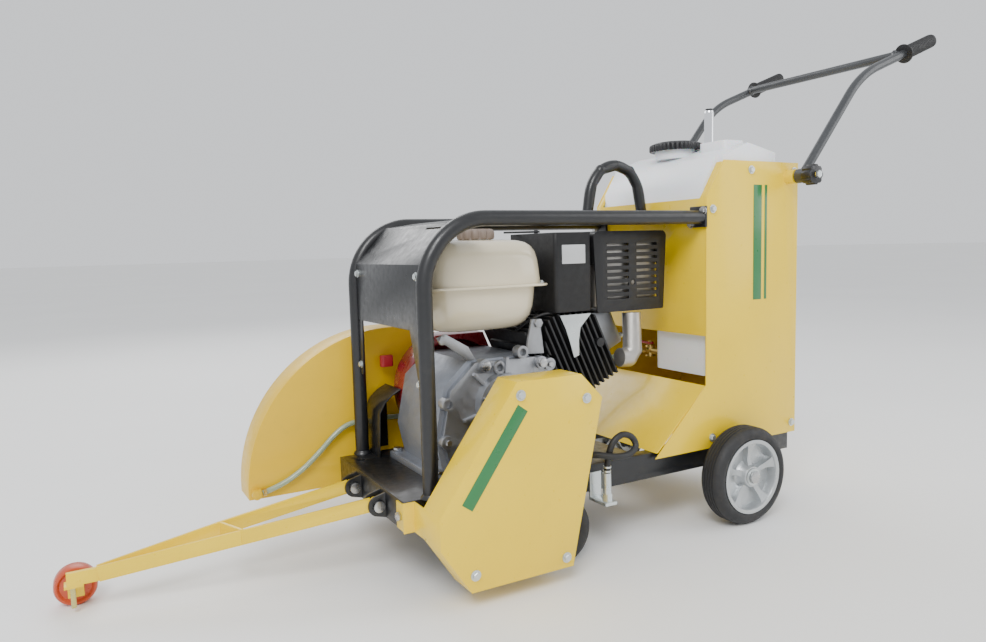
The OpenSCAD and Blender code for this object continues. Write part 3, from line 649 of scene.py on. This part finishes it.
# ---- Caps ----
def fluted_data(origin, rows, flutes, depth, segs):
    """Rings of (radius, height, flute share) about a vertical axis, closed at the top."""
    verts, faces = [], []
    n = len(rows)
    for k in range(segs):
        a = 2 * math.pi * k / segs
        wave = 0.5 - 0.5 * math.cos(a * flutes)
        for r, z, share in rows:
            q = r - depth * share * wave ** 2
            verts.append(mm(origin[0] + q * math.cos(a), origin[1] + q * math.sin(a),
                            origin[2] + z))
    for k in range(segs):
        m = (k + 1) % segs
        for i in range(n - 1):
            faces.append((k * n + i, k * n + i + 1, m * n + i + 1, m * n + i))
    faces.append(tuple(k * n + n - 1 for k in range(segs)))
    faces.append(tuple(k * n for k in reversed(range(segs))))
    return verts, faces


def build_caps():
    rows = [(46.5, 14, 0), (46.5, 1, 0), (57, 0, 0.4), (59, 2, 1), (59, 12, 1),
            (57.5, 15, 0.6), (54, 16.5, 0), (48, 17, 0), (47, 19, 0), (44, 19.6, 0),
            (20, 19.2, 0)]
    cap = merged("water_cap_knurled", [fluted_data((NECK[0], NECK[1], 778), rows, 36, 3.2,
                                                   288)], PLASTIC, "water_cap", angle=40)
    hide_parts("water_cap")
    rows = [(30.5, 12, 0), (30.5, 1, 0), (33, 0, 0), (35.5, 1.5, 0.8), (36.5, 5, 1),
            (36.5, 14, 1), (34.5, 18, 0.8), (31, 20.2, 0.2), (26, 20.4, 0), (24, 18.8, 0),
            (8, 18.6, 0)]
    cap = merged("fuel_cap_ribbed", [fluted_data((FUEL_NECK[0], FUEL_NECK[1], 590.3), rows,
                                                 12, 4.5, 192)], CAP_GREY, "fuel_cap",
                 angle=40)
    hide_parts("fuel_cap")


def build_depth_grip():
    rows = [(6.1, 0), (10, 0), (10.8, 1.4), (11, 6), (11, 92), (10.8, 97.4), (10, 99),
            (6.1, 99)]
    grip = merged("depth_grip_sleeve", [lathe_data(rows, (-181, -59, 786), "z", 48,
                                                   closed=True)], CHROME, "depth_grip")
    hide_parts("depth_grip")


def build_pointer_wheel():
    rows = [(5.1, -15), (13, -15), (14, -13), (24, -11), (28, -15), (31, -14.4), (33, -10),
            (33, 10), (31, 14.4), (28, 15), (24, 11), (14, 13), (13, 15), (5.1, 15)]
    w = merged("pointer_wheel_tread", [lathe_data(rows, (1202, -122, 33), "y", 72,
                                                  closed=True)], ORANGE_RED,
               "pointer_wheel")
    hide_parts("pointer_wheel")


build_caps()
build_depth_grip()
build_pointer_wheel()


# ---- Fuel tank ----
def loft_data(rows, mid, power, segs=96):
    """Rounded rectangles of (half length, half width, height) stacked about mid."""
    verts, faces = [], []
    for hx, hy, z in rows:
        for k in range(segs):
            a = 2 * math.pi * k / segs
            c, s = math.cos(a), math.sin(a)
            x = math.copysign(abs(c) ** (2 / power), c) * hx
            y = math.copysign(abs(s) ** (2 / power), s) * hy
            verts.append(mm(mid[0] + x, mid[1] + y, z))
    for i in range(len(rows) - 1):
        for k in range(segs):
            m = (k + 1) % segs
            faces.append((i * segs + k, i * segs + m, (i + 1) * segs + m,
                          (i + 1) * segs + k))
    faces.append(tuple(reversed(range(segs))))
    faces.append(tuple((len(rows) - 1) * segs + k for k in range(segs)))
    return verts, faces


def build_fuel_tank():
    upper = [(120, 116, 504), (120.5, 116.5, 510), (119, 115, 530), (116.5, 112.5, 552),
             (113, 109, 566), (107, 103, 576), (98, 94, 583), (86, 82, 587),
             (66, 63, 588.8), (40, 38, 589.6)]
    lower = [(60, 58, 421), (78, 74, 422.5), (90, 86, 427), (99, 95, 435), (106, 102, 447),
             (110.5, 106.5, 464), (113, 109, 486), (114, 110, 503)]
    seam = [(126, 121, 501.2), (129, 124, 501.6), (129.6, 124.6, 503.5), (129, 124, 505.4),
            (126, 121, 506)]
    bulge = [(29.4, 29.4, 588), (29.8, 29.8, 590), (29.8, 29.8, 593.5), (28, 28, 595)]
    tank = merged("fuel_tank_shell", [loft_data(upper, (510, -12), 5.2),
                                      loft_data(lower, (510, -12), 4.4),
                                      loft_data(seam, (510, -13), 6.5)], CREAM, "root",
                  angle=40)
    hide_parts("fuel_tank")
    merged("fuel_neck_ring", [loft_data(bulge, (484, -12), 2, 48)], ZINC, "root")


build_fuel_tank()


# ---- Engine details drawn in Blender only ----
def bore(u, v, w):
    """A point in the cylinder's frame, u along it, v across and w above it."""
    a = math.pi + TILT
    return Vector((CRANK[0] + u * math.cos(a) + w * math.sin(a), v,
                   CRANK[1] - u * math.sin(a) + w * math.cos(a)))


def build_engine_details():
    ribs = []
    for a0 in (20, 60, 100, 140, 200, 240, 290, 330):
        a = math.radians(a0)
        p = Vector((CRANK[0] + 36 * math.cos(a), 121, CRANK[1] + 36 * math.sin(a)))
        q = Vector((CRANK[0] + 56 * math.cos(a), 118.5, CRANK[1] + 56 * math.sin(a)))
        ribs.append(tube_data([p, q], 2.6, 12))
    merged("side_cover_ribs", ribs, CAST, "root")
    drain = [hex_data((430, 96, 192), "y", 8, 8, 11), hex_data((586, 96, 192), "y", 8, 8, 11)]
    merged("oil_plugs", drain, ZINC, "root", angle=25)
    rows = [(7, 0, 0), (13.5, 0.6, 0.5), (14.5, 3, 1), (14.5, 10, 1), (12, 12.5, 0.3),
            (6, 13, 0)]
    merged("oil_filler_cap", [fluted_data((616, 66, 196), rows, 8, 3, 96)], PLASTIC, "root")
    wire = catmull([(432, 40, 410), (404, 52, 432), (376, 66, 444), (352, 82, 440),
                    (330, 96, 418)], 8)
    merged("ignition_lead", [tube_data(wire, 3.2, 14)], GRIP, "root")
    line = catmull([(470, -30, 424), (440, -34, 412), (404, -36, 408), (364, -40, 418)], 8)
    merged("fuel_line", [tube_data(line, 3.4, 14)], GRIP, "root")
    heads = []
    for v in (-42, 54):
        for w in (-42, 42):
            heads.append(lathe_data([(0.2, 3), (5, 2.6), (6, 0), (6, -2), (0.2, -2)],
                                    bore(323, v, w), "x", 20))
    merged("rocker_cover_screws", heads, ZINC, "root")


build_engine_details()


# ---- Hoses ----
HOSE_ROUTE = [
    (872, -206, 104), (850, -206, 110), (820, -205, 122), (786, -204, 143),
    (752, -204, 172), (722, -204, 200), (696, -204, 216), (668, -204, 221),
    (630, -205, 222), (585, -205, 220), (535, -206, 215), (480, -206, 208),
    (430, -204, 204), (380, -199, 206), (330, -190, 214), (285, -176, 226),
    (245, -156, 244), (205, -132, 266), (170, -106, 288), (140, -82, 307),
    (112, -60, 321), (86, -45, 329), (60, -40, 330),
]
DRAIN_ROUTE = [
    (405, 150, 190), (385, 175, 190), (365, 205, 195), (335, 224, 191), (305, 226, 192),
    (286, 222, 203), (290, 216, 219), (309, 213, 226), (329, 212, 216), (338, 210, 196),
    (338, 205, 178), (338, 202, 157),
]


def build_hoses():
    path = catmull(HOSE_ROUTE, 6)
    hose = merged("water_hose_clear", [tube_data(path, 5.5, 20)], HOSE_GREEN, None)
    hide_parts("water_hose")
    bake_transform(hose)
    clamp = [lathe_data([(5.7, -3), (7.4, -3), (7.4, 3), (5.7, 3)], (868, -206, 105.2), "x",
                        32, closed=True),
             hex_data((868, -199.5, 107), "y", 3.2, 4)]
    merged("nozzle_clamp", clamp, BRASS, "blade_guard")
    path = catmull(DRAIN_ROUTE, 8)
    drain = merged("drain_hose_rubber", [tube_data(path, 6, 20)], GRIP, "root")
    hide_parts("drain_hose")
    for i, (x, y, z, r) in enumerate(((338, 202.5, 160, 7.6), (338, 203.6, 168, 7.6))):
        band = lathe_data([(6.1, -1.6), (r, -1.6), (r, 1.6), (6.1, 1.6)], (x, y, z), "z", 32,
                          closed=True)
        merged("drain_clip_%d" % i, [band], ZINC, "root")


build_hoses()


# ---- Fasteners, stripes and blank plates ----
def build_details():
    left = [hex_data((x, 178.2, z), "y", 6, 4.5, 8.5)
            for x, z in ((-190, 175), (48, 175), (48, 640), (-190, 720), (-60, 720))]
    right = [hex_data((x, -178.2, z), "-y", 6, 4.5, 8.5)
             for x, z in ((-190, 175), (48, 175), (48, 640), (-190, 720), (-60, 720))]
    merged("console_screws", left + right, ZINC, "root", angle=25)
    merged("belt_guard_screws",
           [hex_data((x, 268, z), "y", 6.5, 4.5, 9)
            for x, z in ((476, 50), (650, 60), (430, 318), (560, 338))],
           ZINC, "root", angle=25)
    merged("side_cover_screws",
           [hex_data((x, 104, z), "y", 6, 5)
            for x, z in ((393, 352), (612, 232), (404, 240), (410, 196))],
           STEEL, "root", angle=25)
    merged("front_cover_screws",
           [hex_data((679, y, z), "x", 5.5, 4, 7.5)
            for y in (-143, 143) for z in (350, 530)], ZINC, "root", angle=25)
    round_box("console_stripe", (-92, 178.0, 452), (-68, 178.7, 690), 0.3, GREEN, "root")
    round_box("console_stripe_thin", (-108, 178.0, 452), (-101, 178.7, 690), 0.3, GREEN,
              "root")
    v, f = prism_data([(670.7, 177.5), (565.2, 323.5), (547.4, 310.6), (652.9, 164.6)],
                      268.0, 268.7)
    bevel_solid("belt_guard_stripe", v, f, GREEN, "root", 0.2)
    round_box("recoil_badge", (472, -193.2, 276), (518, -191.8, 300), 0.5, LABEL, "root")
    round_box("shroud_plate", (304, 97.6, 540), (358, 98.8, 576), 0.5, LABEL, "root")
    merged("tank_seam_screws",
           [hex_data((x, y, 506), "z", 4, 3, 6) for x in (392, 628) for y in (-100, 76)],
           ZINC, "root", angle=25)


build_details()


# ---- Floor and light ----
def build_stage():
    mesh = bpy.data.meshes.new("floor")
    size = 60.0
    mesh.from_pydata([(-size, -size, 0), (size, -size, 0), (size, size, 0),
                      (-size, size, 0)], [], [(0, 1, 2, 3)])
    floor = bpy.data.objects.new("floor", mesh)
    bpy.context.collection.objects.link(floor)
    mesh.materials.append(material("floor_pale", (0.90, 0.90, 0.89), 0.7, vary=0.02,
                                   scale=0.8))
    world = bpy.data.worlds.new("studio")
    world.use_nodes = True
    bpy.context.scene.world = world
    world.node_tree.nodes["Background"].inputs["Color"].default_value = (0.95, 0.97, 1, 1)
    world.node_tree.nodes["Background"].inputs["Strength"].default_value = 1.0
    for name, loc, power, area in (("key", (2.2, 2.6, 3.4), 150, 1.8),
                                   ("fill", (-3.0, 2.2, 2.0), 45, 2.6),
                                   ("rim", (0.4, -3.2, 2.8), 60, 2.4)):
        light = bpy.data.lights.new(name, "AREA")
        light.energy = power
        light.size = area
        lamp = bpy.data.objects.new(name, light)
        lamp.location = loc
        aim = Vector((0, 0, 0.4)) - Vector(loc)
        lamp.rotation_euler = aim.to_track_quat("-Z", "Y").to_euler()
        bpy.context.collection.objects.link(lamp)


build_stage()
